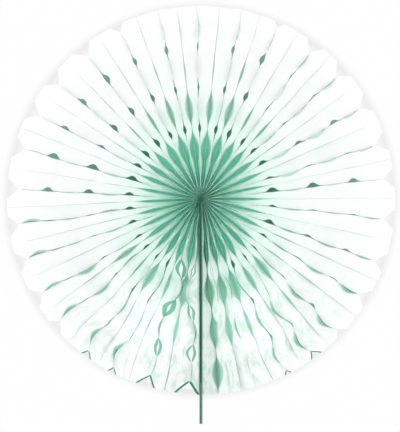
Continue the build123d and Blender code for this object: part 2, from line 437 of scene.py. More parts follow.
def folds_of(panel):
    """The front fold and the back fold of a panel."""
    return (panel, panel + 1) if panel % 2 else (panel + 1, panel)


def shoulder_slope_of(front, back, panel):
    """Slope of a panel's shoulder in radians, for each row."""
    fall = fall_when_slack * slack(line_degrees[front]) + shoulders_vary[panel]
    if back == LEFT_FOLD:
        fall = fall_at_left_card
    share = fade_in(*shoulder_flattens)
    return np.radians(shoulder_at_hub + (shoulder_at_rim - shoulder_at_hub) * share + fall)


def panel_section(panel):
    """Distances sideways and backwards from the front fold, and the sizes of the stretches."""
    front, back = folds_of(panel)
    half_pitch = np.linalg.norm(places[back] - places[front], axis=1)
    gap = valley_gap(back, half_pitch)
    height, reach = fin_of(front, panel == front)
    lip = near_hub * np.minimum(lip_width, np.interp(rows, lip_rows, lip_shares) * half_pitch)
    limit = widest_reach * (half_pitch - gap)
    reach = np.clip(reach, -limit, limit)
    slope = np.arccos(np.clip(reach / height, -1, 1))
    shoulder_slope = shoulder_slope_of(front, back, panel)
    shoulder = (half_pitch - gap - reach - lip) / np.cos(shoulder_slope)
    shoulder = np.minimum(shoulder, pleat_width - height - 2 * gap - shortest_wall)
    wall = pleat_width - height - shoulder
    wall_slope = np.arccos(np.clip(gap / wall, 0, 1))
    cut, edge = cut_at(front), height + shoulder
    past_fin = soft_step((fine - height[:, None]) / fin_bend + 0.5)
    past_edge = soft_step((fine - edge[:, None]) / wall_bend + 0.5)
    phi = slope[:, None] + (shoulder_slope - slope)[:, None] * past_fin
    phi = phi + (wall_slope - shoulder_slope)[:, None] * past_edge
    on_lip = np.clip((fine - cut[:, None]) / fine_step + 1, 0, 1)
    on_lip = on_lip * np.clip(((cut + lip)[:, None] - fine) / fine_step, 0, 1)
    phi = phi + (lip_slope - phi) * on_lip
    across = np.cumsum(np.cos(phi), axis=1) * fine_step
    deep = np.cumsum(np.sin(phi), axis=1) * fine_step
    across -= across[:, :1]
    deep -= deep[:, :1]
    across += (half_pitch - across[:, -1])[:, None] * soft_step(fine / pleat_width)
    return across, deep, height, edge, gap, lip, reach


sections = {panel: panel_section(panel) for panel in range(RIGHT_FOLD, LEFT_FOLD)}
depths = {panel: section[1][:, -1] for panel, section in sections.items()}
top_panel, row_near_hub = 31, 4
print(f"pleats {depths[top_panel][-1] / mm:.0f} mm deep at the rim, "
      f"{depths[top_panel][row_near_hub] / mm:.0f} mm at the centre")

# %% [markdown]
# ## Points of the sheet
#
# Every panel is a grid of points: rows from the centre to the rim, columns across the paper. Its
# first column follows the knife, so a diamond is simply where that column leaves the fold. The
# other columns crowd where the paper bends. The folds take their depth from the panels on both
# sides, levelled out along the rows, because paper cannot swell and shrink from ring to ring.

# %% Depth of the folds, and columns of points
seam_pull, seam_pull_grows = 6 * mm, (40 * mm, 80 * mm)
column_counts = (1, 3, 2, 4, 3, 3)


def level_out(values):
    """Running mean along the rows, over one ring of diamonds."""
    reach = round(ring_pitch / row_step / 2)
    padded = np.pad(values, reach, mode="edge")
    return np.convolve(padded, np.full(2 * reach + 1, 1 / (2 * reach + 1)), mode="valid")


def fold_depth(line):
    """Place of a fold from front to back, so that the pleats on both sides of it agree."""
    if line in (RIGHT_EDGE, RIGHT_FOLD, LEFT_FOLD, LEFT_EDGE):
        return np.full(len(rows), (-1 if line % 2 else 1) * pleat_width / 2)
    half_depth = level_out((depths[line - 1] + depths[line]) / 4)
    if line % 2 == 0:
        return half_depth
    fin_height = sections[line][2]
    if line > FIRST_CUT_FOLD:
        fin_height = (sections[line - 1][2] + fin_height) / 2
    pulled = seam_pull * fade_in(*seam_pull_grows) * (line in (FIRST_CUT_FOLD, LEFT_FOLD - 1))
    return level_out(fin_height) - fin_height - half_depth - pulled


def panel_columns(cut, lip, height, edge):
    """Distances across the paper of the columns of points, crowded at the lip and at the two bends."""
    stops = [cut, cut + lip + 0.1 * mm, height - fin_bend / 2, height + fin_bend / 2,
             edge - wall_bend / 2, edge + wall_bend / 2]
    stops = [np.clip(stop, cut, pleat_width) for stop in stops] + [np.full(len(rows), pleat_width)]
    stops = np.maximum.accumulate(np.array(stops), axis=0)
    columns = [stops[0]]
    for start, end, count in zip(stops, stops[1:], column_counts):
        columns += [start + (end - start) * (n + 1) / count for n in range(count)]
    return np.array(columns).T


print(f"{sum(column_counts) + 1} columns of points across a panel")

# %% [markdown]
# Most panels hang between two folds and take the section worked out above, pushed back or forward
# so that their ends meet the folds. The first and the last panel are glued flat to the cards.

# %% Points of a panel
flat_fin, flat_edge = 5 * mm, 20 * mm


def card_panel(front):
    """Points of a panel that lies flat on a card, and their distances across the paper."""
    ones = np.ones(len(rows))
    columns = panel_columns(cut_at(front), 0 * ones, flat_fin * ones, flat_edge * ones)
    x = np.full(columns.shape, places[front][0, 0])
    z = np.repeat(-rows[:, None], columns.shape[1], axis=1)
    return np.stack([x, columns - pleat_width / 2, z], axis=2), columns


def open_panel(panel):
    """Points of a panel between two folds, and their distances across the paper."""
    front, back = folds_of(panel)
    across, deep, height, edge, gap, lip, reach = sections[panel]
    columns = panel_columns(cut_at(front), lip, height, edge)
    span = places[back] - places[front]
    direction = span / np.linalg.norm(span, axis=1)[:, None]
    start, end = fold_depth(front), fold_depth(back)
    points = np.zeros((*columns.shape, 3))
    for row in range(len(rows)):
        side = np.interp(columns[row], fine, across[row])
        back_by = np.interp(columns[row], fine, deep[row])
        points[row, :, 0] = places[front][row, 0] + side * direction[row, 0]
        points[row, :, 2] = places[front][row, 1] + side * direction[row, 1]
        left_over = end[row] - start[row] - deep[row, -1]
        on_wall = soft_step((columns[row] - edge[row]) / (pleat_width - edge[row]))
        points[row, :, 1] = start[row] + back_by + left_over * on_wall
    return points, columns


print(f"{open_panel(top_panel)[1].size} points in the panel at the top")

# %% [markdown]
# ## Tints
#
# Where two layers of tissue lie together the paper looks a little greener, and where the pleats
# shut the light out it looks greener and darker still. Both are painted into the colour, the shade
# most of all. The points carry where as attributes from 0 to 1: the fin that lies over, the wall
# inside an open valley, the petals round the centre, the shade that fades away from them, and how
# loose the paper is. The frame round a diamond and the mark along a notch, painted shade as well,
# have sharp edges, so those two hold the distance from their edge in millimetres, and the material
# finds the edge between the points. Painted by hand, all of them would be lost as soon as a size
# changed.

# %% Tints of a panel
# Names of the masks of painted shade, and of how loose the paper is.
TINTS = ("fin", "inside", "frame", "mark", "shade", "petal", "loose")
far_outside = -9 * mm
fin_tint_ends, fin_tint_fades = 0.6, 0.5
full_lean, fin_tint_grows = 1.2 * mm, (30 * mm, 50 * mm)
valley_seen, inside_fades, inside_when_tight, inside_at_hub = 0.3 * mm, 0.8 * mm, 0.75, 0.35
inside_grows = (55 * mm, 75 * mm)
thin_line, thin_line_ends = 0.4, (150 * mm, 190 * mm)
ridge_fades, ridge_grows = 0.5 * mm, (8 * mm, 16 * mm)
petal_start, petal_places, petal_fades, tip_fades = 20 * mm, (-0.6, 1.0), 0.5, 8 * mm


def shade_frame_width(line):
    """Width of the painted shade round the open diamonds of a fold, standing for their curled cut edge, for
    each row.
    """
    width = np.zeros(len(rows))
    for radius, frame_of in zip(diamond_radii[1:], shade_frames_of.get(line, no_widths)):
        away = np.abs(rows - radius) / diamond_half_length
        width = np.maximum(width, frame_of * np.sqrt(np.clip(1 - away ** 2, 0, None)))
    return width * mm


def notch_shade_width(line):
    """Width of the painted shade that shows as a dark edge along the notch of a fold at the rim, for each
    row.
    """
    return (cut_at(line) > diamonds) * notch_shades_of.get(line, 0.0) * mm


def inside_edge(width, from_cut):
    """How far inside the edge of a band along the cut, in millimetres, and far outside without one."""
    return np.where(width[:, None] > 0, width[:, None] - from_cut, far_outside) / mm


def panel_tints(panel, columns):
    """Masks of painted shade for the points of a panel between two folds, by name, and how loose the paper
    is.
    """
    front = folds_of(panel)[0]
    degrees = line_degrees[front]
    height, edge, gap, lip, reach = [values[:, None] for values in sections[panel][2:]]
    from_cut = columns - cut_at(front)[:, None]
    loose = loose_rows(degrees)[:, None] + 0 * columns
    # Painted shade on the fin that lies over, where it leans and between the diamonds.
    leaning = np.clip(np.abs(reach) / full_lean, 0, 1) * (fade_in(*fin_tint_grows) * between)[:, None]
    fin = 1 - soft_step((columns / height - fin_tint_ends) / fin_tint_fades)
    # Painted shade on the wall inside an open valley, kept faint where the valley is shut until near the
    # rim.
    inside = soft_step((columns - edge) / inside_fades + 0.5)
    least = thin_line * (1 - fade_in(*thin_line_ends))[:, None]
    inside = inside * np.clip((gap - valley_seen) / mm, least, 1)
    inside = inside * (inside_when_tight + (1 - inside_when_tight) * loose)
    inside = inside * (inside_at_hub + (1 - inside_at_hub) * fade_in(*inside_grows))[:, None]
    # Painted shade is kept off the ridges near the centre, so that they stay pale.
    ridge = (1 - soft_step((from_cut - lip) / ridge_fades)) * (near_hub * fade_in(*ridge_grows))[:, None]
    ridge = unshaded_ridge(degrees) * ridge
    # Painted green shade, fading away from the centre.
    shade = 1 - fade_in(shade_start(degrees) * mm, shade_end(degrees) * mm)[:, None]
    # Painted shade on the petals: the lower part of each shoulder near the centre.
    tip = petal_end(degrees) * mm
    down_shoulder = np.clip((columns - height) / (edge - height), 0, None)
    starts = np.interp(rows, (petal_start, tip), petal_places)[:, None]
    petal = soft_step((down_shoulder - starts) / petal_fades + 0.5)
    petal = petal * (1 - fade_in(tip, tip + tip_fades))[:, None]
    return {"fin": fin * leaning * fin_shade_by_angle(degrees), "inside": inside,
            "frame": inside_edge(shade_frame_width(front), from_cut),
            "mark": inside_edge(notch_shade_width(front), from_cut),
            "shade": shade * (1 - ridge), "petal": petal * (1 - ridge), "loose": loose}


def panel_points(panel):
    """Points of a panel, with their distances across the paper and the values that tint them."""
    if panel in sections:
        points, columns = open_panel(panel)
        return points, columns, panel_tints(panel, columns)
    points, columns = card_panel(folds_of(panel)[0])
    return points, columns, {name: 0 * columns for name in TINTS}


print("tints:", ", ".join(TINTS))

# %% [markdown]
# ## The sheet
#
# The panels meet in equal points at the folds, and merging those makes one sheet, open only along
# its cut edges, its rim and its two ends. Its UV map is the strip laid out flat, in metres, so that
# the fibres run from the centre to the rim whichever way a pleat faces.

# %% Mesh of the sheet
merge_distance, no_area = 0.02 * mm, 1e-10


def build_sheet():
    """The whole sheet as one mesh, with its flat layout as a UV map and the tints as attributes."""
    points, layouts, faces, offset = [], [], [], 0
    tints = {name: [] for name in TINTS}
    for panel in range(LEFT_EDGE):
        place, columns, values = panel_points(panel)
        count = columns.shape[1]
        start = panel * pleat_width
        along = start + columns if panel % 2 else start + pleat_width - columns
        points.append(place.reshape(-1, 3))
        layouts.append(np.stack([along, np.repeat(rows[:, None], count, axis=1)], axis=2).reshape(-1, 2))
        for name in TINTS:
            tints[name].append(values[name].reshape(-1))
        first = offset + np.arange(len(rows) - 1)[:, None] * count + np.arange(count - 1)[None, :]
        corners = [first, first + 1, first + count + 1, first + count]
        if panel % 2 == 0:
            corners.reverse()
        faces.append(np.stack(corners, axis=2).reshape(-1, 4))
        offset += place.shape[0] * count
    points = np.concatenate(points) + np.array([0, 0, centre_z])
    mesh = bpy.data.meshes.new("tissue")
    mesh.from_pydata(points.tolist(), [], np.concatenate(faces).tolist())
    layout = np.concatenate(layouts)
    uv = mesh.uv_layers.new(name="flat_paper")
    corner_points = np.zeros(len(mesh.loops), dtype=int)
    mesh.loops.foreach_get("vertex_index", corner_points)
    uv.data.foreach_set("uv", layout[corner_points].reshape(-1))
    for name in TINTS:
        mesh.attributes.new(name, "FLOAT", "POINT").data.foreach_set("value", np.concatenate(tints[name]))
    return mesh


def merge_folds(mesh):
    """Joins the panels at the folds and drops the faces that a cut has taken away."""
    work = bmesh.new()
    work.from_mesh(mesh)
    bmesh.ops.remove_doubles(work, verts=work.verts, dist=merge_distance)
    flat = [face for face in work.faces if face.calc_area() < no_area]
    bmesh.ops.delete(work, geom=flat, context="FACES_ONLY")
    work.to_mesh(mesh)
    work.free()


sheet_mesh = build_sheet()
merge_folds(sheet_mesh)
sheet_area = sum(polygon.area for polygon in sheet_mesh.polygons)
print(f"{len(sheet_mesh.polygons)} faces, {sheet_area:.3f} square metres of tissue")

# %% [markdown]
# ## Crinkles
#
# Tissue that has been folded, packed and opened again is never quite smooth. Geometry Nodes move
# each point along its normal by noise. Two sizes of noise are enough: broad dents, deeper where the
# paper is loose, and fine creases. A node tree is used and not a loop, because its inputs then stay
# named values that can be tried out by hand.

# %% One size of crinkle
dent_seed, crease_seed, crinkle_detail = 3.0, 11.0, 2.0
dents_when_loose = 1.6
crinkle_defaults = {"Dent height": 0.0, "Dent size": 1.0, "Crease height": 0.0, "Crease size": 1.0}


def calculate(tree, operation, *values):
    """Result of a Math node in any tree, from sockets or numbers."""
    node = tree.nodes.new("ShaderNodeMath")
    node.operation = operation
    for socket, value in zip(node.inputs, values):
        if isinstance(value, bpy.types.NodeSocket):
            tree.links.new(value, socket)
        else:
            socket.default_value = value
    return node.outputs[0]


def add_input(tree, name, kind, value=None):
    socket = tree.interface.new_socket(name, in_out="INPUT", socket_type=kind)
    if value is not None:
        socket.default_value = value
    return socket.identifier


def crinkle_height(tree, given, place, kind, seed):
    """Height of one size of crinkle: noise round zero, times the height that is asked for."""
    noise = tree.nodes.new("ShaderNodeTexNoise")
    noise.noise_dimensions = "4D"
    noise.inputs["W"].default_value = seed
    noise.inputs["Detail"].default_value = crinkle_detail
    tree.links.new(place, noise.inputs["Vector"])
    scale = calculate(tree, "DIVIDE", 1.0, given.outputs[f"{kind} size"])
    tree.links.new(scale, noise.inputs["Scale"])
    level = calculate(tree, "SUBTRACT", noise.outputs["Fac"], 0.5)
    return calculate(tree, "MULTIPLY", level, given.outputs[f"{kind} height"])


print("crinkles:", ", ".join(crinkle_defaults))

# %% [markdown]
# The tree adds both sizes of crinkle, moves the points, and ends with the material, so that the
# plain mesh made from it later is already painted.

# %% Node tree for the crinkles
def make_crinkle_tree():
    tree = bpy.data.node_groups.new("crinkled tissue", "GeometryNodeTree")
    names = {"Sheet": add_input(tree, "Sheet", "NodeSocketGeometry")}
    for name, value in crinkle_defaults.items():
        names[name] = add_input(tree, name, "NodeSocketFloat", value)
    names["Paper"] = add_input(tree, "Paper", "NodeSocketMaterial")
    tree.interface.new_socket("Sheet", in_out="OUTPUT", socket_type="NodeSocketGeometry")
    nodes, links = tree.nodes, tree.links
    given = nodes.new("NodeGroupInput")
    given_out = nodes.new("NodeGroupOutput")
    place = nodes.new("GeometryNodeInputPosition").outputs["Position"]
    loose = nodes.new("GeometryNodeInputNamedAttribute")
    loose.data_type = "FLOAT"
    loose.inputs["Name"].default_value = "loose"
    grow = calculate(tree, "MULTIPLY_ADD", loose.outputs["Attribute"], dents_when_loose, 1.0)
    dents = calculate(tree, "MULTIPLY", crinkle_height(tree, given, place, "Dent", dent_seed), grow)
    total = calculate(tree, "ADD", dents, crinkle_height(tree, given, place, "Crease", crease_seed))
    normal = nodes.new("GeometryNodeInputNormal")
    push = nodes.new("ShaderNodeVectorMath")
    push.operation = "SCALE"
    links.new(normal.outputs["Normal"], push.inputs[0])
    links.new(total, push.inputs["Scale"])
    move = nodes.new("GeometryNodeSetPosition")
    realize = nodes.new("GeometryNodeRealizeInstances")
    paint = nodes.new("GeometryNodeSetMaterial")
    links.new(given.outputs["Sheet"], move.inputs["Geometry"])
    links.new(push.outputs["Vector"], move.inputs["Offset"])
    links.new(move.outputs["Geometry"], realize.inputs["Geometry"])
    links.new(realize.outputs["Geometry"], paint.inputs["Geometry"])
    links.new(given.outputs["Paper"], paint.inputs["Material"])
    links.new(paint.outputs["Geometry"], given_out.inputs["Sheet"])
    return tree, names


crinkle_tree, crinkle_inputs = make_crinkle_tree()
print("crinkle inputs:", ", ".join(crinkle_inputs))

# %% [markdown]
# ## Building blocks for the materials
#
# All the finishes are mixes of colours by masks, so a few short functions, each for one node, keep
# the materials readable. Masks can be mixed, multiplied and mapped to another range.

# %% Helpers for materials
def new_material(name):
    material = bpy.data.materials.new(name)
    material.use_nodes = True
    tree = material.node_tree
    return material, tree, tree.nodes["Principled BSDF"], tree.nodes["Material Output"]


def mix_colours(tree, factor, first, second):
    """Mixes two colours, each given as a tuple or a socket, by a socket."""
    mix = tree.nodes.new("ShaderNodeMix")
    mix.data_type = "RGBA"
    tree.links.new(factor, mix.inputs[0])
    for socket, value in ((mix.inputs[6], first), (mix.inputs[7], second)):
        if isinstance(value, tuple):
            socket.default_value = (*value, 1)
        else:
            tree.links.new(value, socket)
    return mix.outputs[2]


def ramp(tree, source, *stops):
    """A colour ramp of greys, from pairs of place and level."""
    node = tree.nodes.new("ShaderNodeValToRGB")
    elements = node.color_ramp.elements
    while len(elements) < len(stops):
        elements.new(0.5)
    for element, (place, level) in zip(elements, stops):
        element.position = place
        element.color = (level, level, level, 1)
    tree.links.new(source, node.inputs["Fac"])
    return node.outputs["Color"]


def map_range(tree, value, low, high, to_low=0.0, to_high=1.0):
    node = tree.nodes.new("ShaderNodeMapRange")
    for name, level in (("From Min", low), ("From Max", high), ("To Min", to_low), ("To Max", to_high)):
        node.inputs[name].default_value = level
    tree.links.new(value, node.inputs["Value"])
    return node.outputs["Result"]


def noise_level(tree, place, scale, detail=2.0, roughness=0.5):
    """Noise from 0 to 1. The scale is a number, or a number for each direction of the place."""
    if isinstance(scale, tuple):
        stretch = tree.nodes.new("ShaderNodeMapping")
        stretch.inputs["Scale"].default_value = scale
        tree.links.new(place, stretch.inputs["Vector"])
        place, scale = stretch.outputs["Vector"], 1.0
    noise = tree.nodes.new("ShaderNodeTexNoise")
    noise.inputs["Scale"].default_value = scale
    noise.inputs["Detail"].default_value = detail
    noise.inputs["Roughness"].default_value = roughness
    tree.links.new(place, noise.inputs["Vector"])
    return noise.outputs["Fac"]


def attribute(tree, name):
    node = tree.nodes.new("ShaderNodeAttribute")
    node.attribute_name = name
    return node.outputs["Fac"]


print("helpers: new_material, mix_colours, ramp, map_range, noise_level, attribute")

# %% [markdown]
# ## Tissue
#
# Tissue is thin enough for light to come through from behind, so its shader is part diffuse and
# part translucent. One sheet of it is nearly white, with faint fibres, and where it is loose and
# crumpled a painted mottled shade stands for its creases and the layers seen through it. Where
# light has gone through or bounced off several layers it turns a deep mint, and that shade is
# painted into the colour: the tints of the points say where, and an ambient occlusion node paints
# it into the narrow gaps round the centre. Each colour is laid over the last, the darkest at the end.

# %% Colours of the paper
# The mottle colour and all the greens here are painted shade over the paper's own pale colour and fibres.
pale, fibre, crumple_shade = (0.928, 0.945, 0.940), (0.908, 0.932, 0.924), (0.66, 0.79, 0.74)
fading_shade_green, petal_shade_green, gap_shade_green = (0.42, 0.74, 0.62), (0.42, 0.71, 0.59), (0.50, 0.81, 0.71)
valley_shade_green, fin_shade_green = (0.54, 0.82, 0.71), (0.30, 0.62, 0.49)
frame_shade_green, notch_shade_green = (0.20, 0.50, 0.37), (0.04, 0.26, 0.16)
fibre_scale, fibre_detail, fibre_ramp = (90, 22, 1), 4.0, ((0.35, 0.0), (0.7, 1.0))
mottle_scale, mottle_detail, mottle_roughness = (130, 55, 1), 8.0, 0.62
mottle_ramp, mottle_strength = ((0.49, 0.0), (0.60, 1.0)), 0.95
# Painted shade in narrow gaps, found by ambient occlusion.
gap_size, gap_samples, gap_ramp = 22 * mm, 8, ((0.06, 1.0), (0.30, 0.0))
fading_shade_strength, valley_strength = 0.7, 0.95
shade_frame_edge, notch_shade_edge = (-0.1, 0.4), (-0.1, 0.3)


def paper_colour(tree, tint):
    """Colour of a single sheet, with its fibres, a painted mottled shade where it is loose, and the painted
    edge of the green shade.
    """
    layout = tree.nodes.new("ShaderNodeUVMap")
    layout.uv_map = "flat_paper"
    fibres = noise_level(tree, layout.outputs["UV"], fibre_scale, fibre_detail)
    paper = mix_colours(tree, ramp(tree, fibres, *fibre_ramp), pale, fibre)
    # Painted mottled shade of the loose, crumpled paper.
    mottle = noise_level(tree, layout.outputs["UV"], mottle_scale, mottle_detail, mottle_roughness)
    on_loose = calculate(tree, "MULTIPLY", tint["loose"], mottle_strength)
    on_loose = calculate(tree, "MULTIPLY", ramp(tree, mottle, *mottle_ramp), on_loose)
    paper = mix_colours(tree, on_loose, paper, crumple_shade)
    # Painted green shade, strongest half way through its fade.
    half_way = calculate(tree, "MULTIPLY", tint["shade"], calculate(tree, "SUBTRACT", 1.0, tint["shade"]))
    return mix_colours(tree, calculate(tree, "MULTIPLY", half_way, fading_shade_strength), paper, fading_shade_green)


def shaded_colour(tree, tint, paper):
    """Painted shade in greens over the colour of a single sheet: petals, gaps, valleys, fins, frames round
    diamonds and marks along notches.
    """
    # Painted shade on the petals round the centre.
    colour = mix_colours(tree, tint["petal"], paper, petal_shade_green)
    # Painted shade in the narrow gaps, from ambient occlusion, where the shade reaches.
    hidden = tree.nodes.new("ShaderNodeAmbientOcclusion")
    hidden.samples = gap_samples
    hidden.inputs["Distance"].default_value = gap_size
    shut_in = ramp(tree, hidden.outputs["AO"], *gap_ramp)
    colour = mix_colours(tree, calculate(tree, "MULTIPLY", shut_in, tint["shade"]), colour, gap_shade_green)
    # Painted shade on the walls inside open valleys.
    in_valley = calculate(tree, "MULTIPLY", tint["inside"], valley_strength)
    colour = mix_colours(tree, in_valley, colour, valley_shade_green)
    # Painted shade on the flank of a fin that lies over.
    colour = mix_colours(tree, tint["fin"], colour, fin_shade_green)
    # Painted shade round the open diamonds.
    colour = mix_colours(tree, map_range(tree, tint["frame"], *shade_frame_edge), colour, frame_shade_green)
    # Painted shade as a dark edge along the notches.
    return mix_colours(tree, map_range(tree, tint["mark"], *notch_shade_edge), colour, notch_shade_green)


print(f"single sheet {pale}, darkest {notch_shade_green}")

# %% [markdown]
# The same colour goes into both halves of the shader. Real tissue has hardly any shine, so the
# specular level is low and the roughness high.

# %% Tissue material
paper_roughness, paper_shine, translucence = 0.75, 0.15, 0.40


def make_tissue():
    material, tree, surface, output = new_material("mint tissue")
    tint = {name: attribute(tree, name) for name in TINTS}
    colour = shaded_colour(tree, tint, paper_colour(tree, tint))
    tree.links.new(colour, surface.inputs["Base Color"])
    surface.inputs["Roughness"].default_value = paper_roughness
    surface.inputs["Specular IOR Level"].default_value = paper_shine
    through = tree.nodes.new("ShaderNodeBsdfTranslucent")
    tree.links.new(colour, through.inputs["Color"])
    both = tree.nodes.new("ShaderNodeMixShader")
    both.inputs["Fac"].default_value = translucence
    tree.links.new(surface.outputs["BSDF"], both.inputs[1])
    tree.links.new(through.outputs["BSDF"], both.inputs[2])
    tree.links.new(both.outputs["Shader"], output.inputs["Surface"])
    return material


tissue = make_tissue()
print(f"tissue: {len(tissue.node_tree.nodes)} nodes")

# %% [markdown]
# ## The finished sheet
#
# The tree goes on the sheet as a modifier, its inputs are set by their identifiers, and the
# evaluated result becomes a plain mesh. Folds stay sharp and bends stay soft, so each edge is
# marked sharp only where its faces meet at a steep angle.

# %% Crinkle the sheet and hand it over
def bake_modifier(thing, name):
    """Plain mesh object from a thing's evaluated modifiers."""
    evaluated = thing.evaluated_get(bpy.context.evaluated_depsgraph_get())
    mesh = bpy.data.meshes.new_from_object(evaluated)
    thing.modifiers.clear()
    bpy.data.objects.remove(thing)
    mesh.name = name
    piece = bpy.data.objects.new(name, mesh)
    bpy.context.scene.collection.objects.link(piece)
    return piece


def crinkle(mesh, name, settings):
    flat = bpy.data.objects.new("flat " + name, mesh)
    bpy.context.scene.collection.objects.link(flat)
    modifier = flat.modifiers.new("crinkles", "NODES")
    modifier.node_group = crinkle_tree
    for key, value in settings.items():
        modifier[crinkle_inputs[key]] = value
    return bake_modifier(flat, name)


sharp_fold = radians(38)
sheet = crinkle(sheet_mesh, "tissue_sheet", {
    "Dent height": 1.0 * mm, "Dent size": 26 * mm, "Crease height": 0.35 * mm, "Crease size": 7 * mm,
    "Paper": tissue,
})
sheet.data.shade_smooth()
sheet.data.set_sharp_from_angle(angle=sharp_fold)
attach(sheet, "root")
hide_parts("pleated_tissue")

# %% [markdown]
# ## Cards, tape and thread
#
# The end cards are thick board, dyed through and a little uneven, and their cut edges face the
# front. Their boxes are right as they are, so only their material changes, and so it is with the
# tape between them and the thread through the inner ends of the pleats.

# %% Finishes of the solids
blotch_scale, blotch_detail, blotch_ramp = 60, 6.0, ((0.3, 0.0), (0.7, 1.0))
darkest_dye, faces_front = 0.72, 0.7
board_roughness, grain_strength, grain_height = 0.8, 0.2, 0.1 * mm


def object_place(tree):
    return tree.nodes.new("ShaderNodeTexCoord").outputs["Object"]


def make_board(name, face, edge):
    """Dyed board: blotchy over its faces, and darker along the cut edges that face front and back."""
    material, tree, surface, _ = new_material(name)
    blotches = noise_level(tree, object_place(tree), blotch_scale, blotch_detail)
    darker = tuple(darkest_dye * level for level in face)
    dyed = mix_colours(tree, ramp(tree, blotches, *blotch_ramp), darker, face)
    shape = tree.nodes.new("ShaderNodeNewGeometry")
    facing = tree.nodes.new("ShaderNodeSeparateXYZ")
    tree.links.new(shape.outputs["True Normal"], facing.inputs["Vector"])
    cut_edge = calculate(tree, "GREATER_THAN", calculate(tree, "ABSOLUTE", facing.outputs["Y"]), faces_front)
    tree.links.new(mix_colours(tree, cut_edge, dyed, edge), surface.inputs["Base Color"])
    surface.inputs["Roughness"].default_value = board_roughness
    grain = tree.nodes.new("ShaderNodeBump")
    grain.inputs["Strength"].default_value = grain_strength
    grain.inputs["Distance"].default_value = grain_height
    tree.links.new(blotches, grain.inputs["Height"])
    tree.links.new(grain.outputs["Normal"], surface.inputs["Normal"])
    return material


def make_plain_finish(name, low, high, scale, roughness):
    """A finish of two close shades in fine noise."""
    material, tree, surface, _ = new_material(name)
    shades = mix_colours(tree, noise_level(tree, object_place(tree), scale), low, high)
    tree.links.new(shades, surface.inputs["Base Color"])
    surface.inputs["Roughness"].default_value = roughness
    return material


def dress(node, material):
    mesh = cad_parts[node].data
    mesh.materials.clear()
    mesh.materials.append(material)
    print(f"{node}: {material.name}")


dress("end_card_left", make_board("dark green board", (0.04, 0.24, 0.14), (0.003, 0.05, 0.025)))
dress("end_card_right", make_board("green board", (0.26, 0.56, 0.42), (0.014, 0.15, 0.085)))
dress("joining_tape", make_plain_finish("clear tape", (0.50, 0.62, 0.55), (0.66, 0.76, 0.70), 400, 0.4))
dress("centre_thread", make_plain_finish("white thread", (0.78, 0.82, 0.79), (0.93, 0.95, 0.93), 2500, 0.9))

# %% [markdown]
# ## Wall and floor
#
# The fan hangs close to a white wall, and a soft shadow follows its rim, partly cast and partly
# painted into the wall's coat. Through the diamonds one looks at the layers behind and the wall,
# green from all the paper round them. A path tracer gets there only after very many bounces, so the
# wall has two coats. The camera sees one with painted green shade behind the diamonds, painted light
# below the centre, where the holes of the real one show the bright room, a painted grey shadow at
# the rim, and white beyond it. All other rays meet a plain coat, dark in the middle, with a glow
# that stands for the light that would reach the pleats from behind. The wall is one-sided, so the
# fan can also be looked at from behind. The floor lies well below.

# %% Helpers for the stage
def plane(name, corners, material):
    mesh = bpy.data.meshes.new(name)
    mesh.from_pydata(corners, [], [tuple(range(len(corners)))])
    mesh.materials.append(material)
    thing = bpy.data.objects.new(name, mesh)
    bpy.context.scene.collection.objects.link(thing)
    return thing


def add_shaders(tree, kind, first, second, factor=None):
    node = tree.nodes.new(kind)
    sockets = list(node.inputs)
    if factor is not None:
        tree.links.new(factor, sockets.pop(0))
    tree.links.new(first, sockets[0])
    tree.links.new(second, sockets[1])
    return node.outputs["Shader"]


def place_on_wall(tree):
    """Distance from the fan's centre, and the cosine of the angle from straight down."""
    move = tree.nodes.new("ShaderNodeMapping")
    move.inputs["Location"].default_value = (0, 0, -centre_z)
    move.inputs["Scale"].default_value = (1, 0, 1)
    tree.links.new(object_place(tree), move.inputs["Vector"])
    length = tree.nodes.new("ShaderNodeVectorMath")
    length.operation = "LENGTH"
    tree.links.new(move.outputs["Vector"], length.inputs[0])
    parts = tree.nodes.new("ShaderNodeSeparateXYZ")
    tree.links.new(move.outputs["Vector"], parts.inputs["Vector"])
    away = length.outputs["Value"]
    down = calculate(tree, "MULTIPLY", parts.outputs["Z"], -1.0)
    return away, calculate(tree, "DIVIDE", down, away)


def seen_rays(tree):
    """1 for rays that show the wall to the camera. Light through tissue is diffuse, so it is not one."""
    path = tree.nodes.new("ShaderNodeLightPath")
    direct = calculate(tree, "MAXIMUM", path.outputs["Is Camera Ray"], path.outputs["Is Glossy Ray"])
    clear = calculate(tree, "SUBTRACT", path.outputs["Is Transmission Ray"], path.outputs["Is Diffuse Ray"])
    return calculate(tree, "MAXIMUM", direct, clear)


print("helpers: plane, add_shaders, place_on_wall, seen_rays")

# %% [markdown]
# The coats are set by rings round the centre, and their radii and levels come from looking at the
# render. Below the centre the paper is slack and lets more light in, so a sector there gets painted
# light, in the camera's coat and in the glow.

# %% Coats of the wall
# Painted green shade behind the diamonds, darker towards the centre, in the camera's coat.
shade_green_by_hub, shade_green_by_rim, shade_green_ring = (0.08, 0.27, 0.185), (0.26, 0.48, 0.39), (60 * mm, 165 * mm)
# Painted light in a sector below the centre, seen through the holes there.
painted_light_below, below_sector, below_ring = (0.88, 0.95, 0.92), (0.93, 0.96), (60 * mm, 70 * mm)
rim_shadow, shadow_ring = (0.42, 0.42, 0.43), (rim_radius - 28 * mm, rim_radius - 14 * mm)
